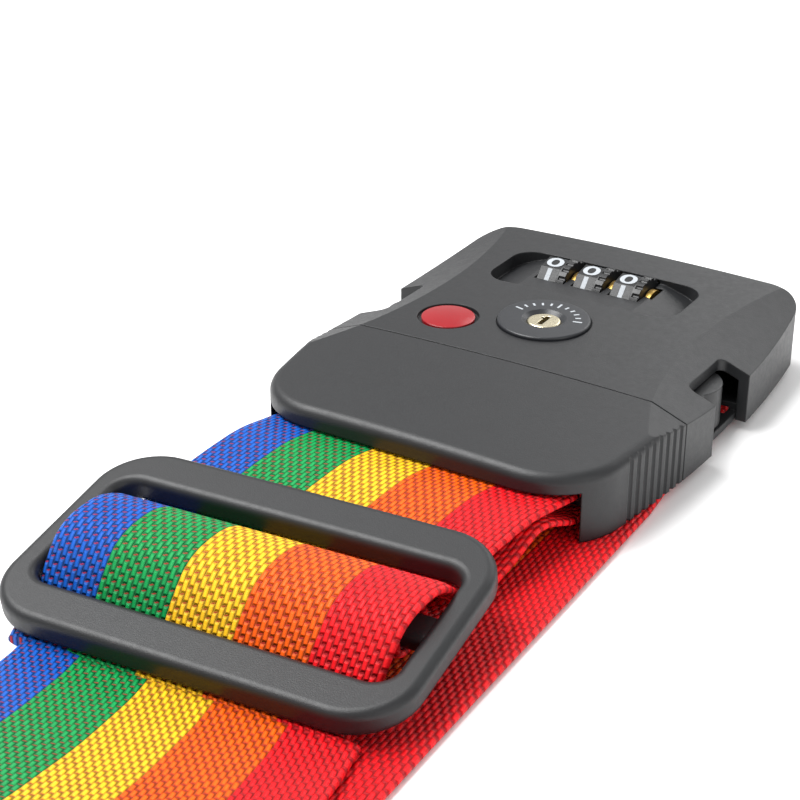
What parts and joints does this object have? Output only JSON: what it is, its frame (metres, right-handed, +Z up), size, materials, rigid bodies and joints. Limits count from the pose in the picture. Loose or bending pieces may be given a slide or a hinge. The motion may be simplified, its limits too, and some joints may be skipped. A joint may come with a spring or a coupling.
{
  "type": "luggage strap",
  "caption": "Flat woven luggage strap with a number-and-key lock buckle and a strap slider; buckle closed, spare length folded and tied.",
  "frame": {"origin": "on the ground under the seam between the two halves of the buckle, on the buckle's centre line", "axes": "+Y from the seam over the lock half, +X to the right seen from the strap end, +Z up"},
  "size_m": [0.0698, 0.325, 0.0155],
  "materials": {
    "grey_shell": "satin",
    "grey_latch": "satin",
    "slider_grey": "satin",
    "dial_black": "satin",
    "disc_grey": "semi-gloss",
    "badge_red": "gloss",
    "plug_brass": "polished",
    "brass": "turned",
    "steel": "plated",
    "spring_steel": "plain",
    "zinc": "cast",
    "webbing": "woven",
    "tie_grey": "woven"
  },
  "bodies": {
    "strap": {"insert_cover": "grey_shell", "insert_base": "grey_shell", "latch_pins": "steel", "insert_screws": "steel", "webbing_near_run": "webbing", "webbing_far_run": "webbing", "webbing_insert_loop": "webbing", "webbing_return_run": "webbing", "webbing_bottom_run": "webbing", "webbing_hank": "webbing", "hank_tie": "tie_grey"},
    "slider": {"slider_frame": "slider_grey", "webbing_bulge": "webbing", "webbing_sewn_loop": "webbing"},
    "lock": {"lock_cover": "grey_shell", "lock_base": "grey_shell", "lock_screws": "steel", "dial_spindle": "steel", "detent_spring": "spring_steel", "key_disc": "disc_grey", "badge": "badge_red", "dial_sleeve_1": "brass", "dial_sleeve_2": "brass", "dial_sleeve_3": "brass", "plate_springs": "spring_steel", "webbing_lock_loop": "webbing"},
    "latch_right": {"latch_arm_right": "grey_latch"},
    "latch_left": {"latch_arm_left": "grey_latch"},
    "dial_a": {"dial_1": "dial_black"},
    "dial_b": {"dial_2": "dial_black"},
    "dial_c": {"dial_3": "dial_black"},
    "key": {"key_plug": "plug_brass", "key_cam": "steel", "key_clip": "spring_steel"},
    "plate": {"locking_plate": "zinc"}
  },
  "joints": [
    {"name": "lock_release", "type": "slide", "parent": "strap", "child": "lock", "axis": [0, 1, 0], "range_m": [0, 0.03]},
    {"name": "latch_right_press", "type": "hinge", "parent": "strap", "child": "latch_right", "pos_m": [0.0237, -0.009, 0.0066], "axis": [0, 0, 1], "range_deg": [0, 5], "stiffness_Nm_per_rad": 0.5},
    {"name": "latch_left_press", "type": "hinge", "parent": "strap", "child": "latch_left", "pos_m": [-0.0237, -0.009, 0.0066], "axis": [0, 0, -1], "range_deg": [0, 5], "stiffness_Nm_per_rad": 0.5},
    {"name": "dial_1_turn", "type": "hinge", "parent": "lock", "child": "dial_a", "pos_m": [-0.0089, 0.0376, 0.00975], "axis": [1, 0, 0], "continuous": true},
    {"name": "dial_2_turn", "type": "hinge", "parent": "lock", "child": "dial_b", "pos_m": [-0.00195, 0.0376, 0.00975], "axis": [1, 0, 0], "continuous": true},
    {"name": "dial_3_turn", "type": "hinge", "parent": "lock", "child": "dial_c", "pos_m": [0.005, 0.0376, 0.00975], "axis": [1, 0, 0], "continuous": true},
    {"name": "key_turn", "type": "hinge", "parent": "lock", "child": "key", "pos_m": [-0.0008, 0.016, 0.0095], "axis": [0, 0, 1], "range_deg": [0, 90]},
    {"name": "plate_slide", "type": "slide", "parent": "lock", "child": "plate", "axis": [0, 1, 0], "range_m": [0, 0.002], "deforming": ["plate_springs"]},
    {"name": "slider_adjust", "type": "slide", "parent": "strap", "child": "slider", "axis": [0, 1, 0], "range_m": [-0.008, 0.004], "deforming": ["webbing_near_run", "webbing_bulge", "webbing_far_run", "webbing_return_run", "webbing_sewn_loop"]}
  ],
  "couplings": [
    {"joint": "key_turn", "follows": "plate_slide", "rad_per_m": 785}
  ]
}
